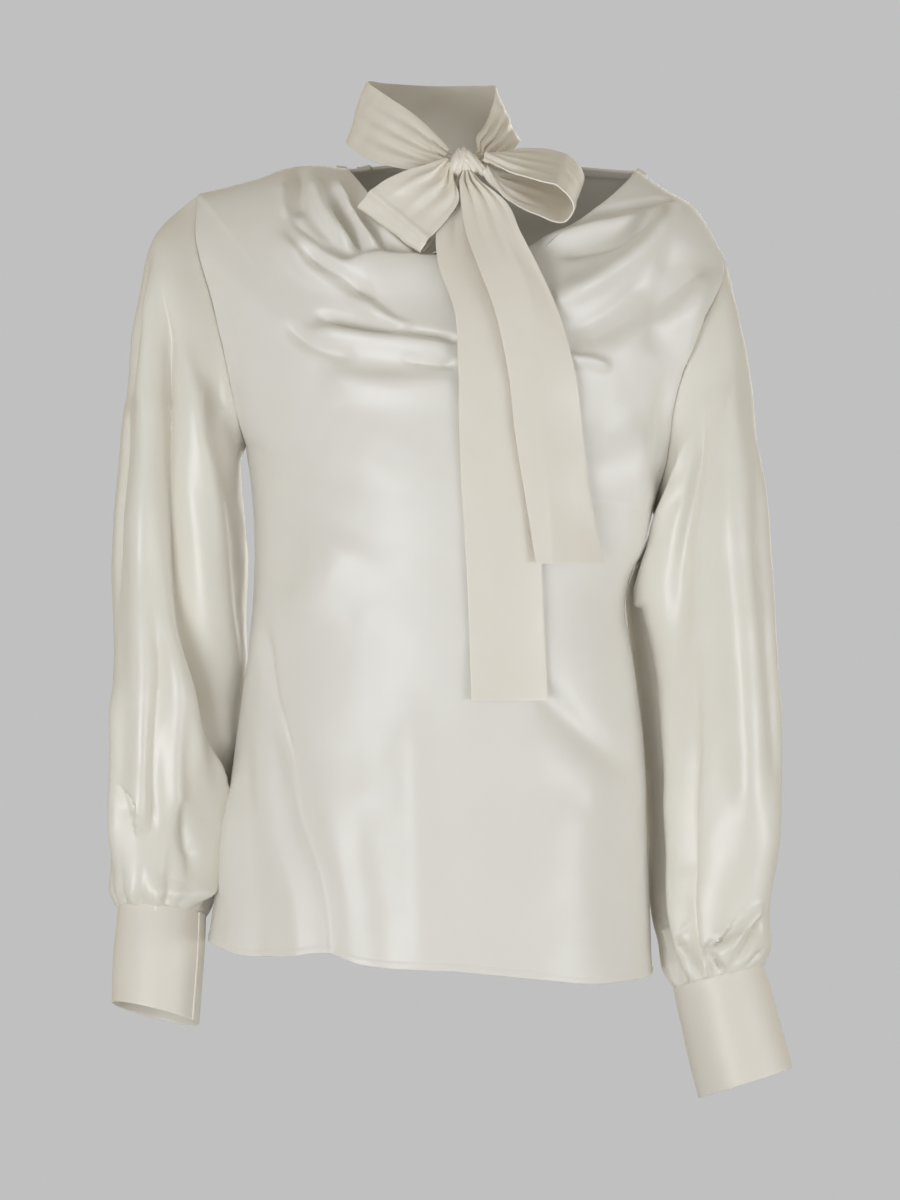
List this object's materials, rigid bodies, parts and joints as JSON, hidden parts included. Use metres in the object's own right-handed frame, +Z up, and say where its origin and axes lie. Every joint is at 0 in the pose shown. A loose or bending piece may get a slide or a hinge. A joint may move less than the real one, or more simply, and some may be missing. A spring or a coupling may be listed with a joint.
{
  "type": "blouse",
  "caption": "Long-sleeved satin blouse with a draped neckline, wide cuffs and a scarf tie worn in a bow, hollow and shaped as worn.",
  "frame": {"origin": "where the wearer holds it: the middle of the wearer's shoulder line, at the base of the neck", "axes": "+Z up along the wearer's body, -Y to the front, +X to the wearer's left"},
  "size_m": [0.5261, 0.2671, 0.7958],
  "materials": {
    "satin_body": "soft cream silk satin, smooth, low sheen on the flat and brighter on folds",
    "satin_sleeve": "the same satin, a little warmer in shade",
    "satin_cuff": "the same satin, faced and pressed flat",
    "satin_tie": "the same satin, double, softly creased towards the knot"
  },
  "bodies": {
    "root": {"front": "satin_body", "back": "satin_body", "sleeve_right": "satin_sleeve", "sleeve_left": "satin_sleeve", "cuff_right": "satin_cuff", "cuff_left": "satin_cuff", "tie_band": "satin_tie", "tie_knot": "satin_tie", "tie_loop_right": "satin_tie", "tie_loop_left": "satin_tie", "tie_tail_long": "satin_tie", "tie_tail_short": "satin_tie"}
  },
  "joints": []
}
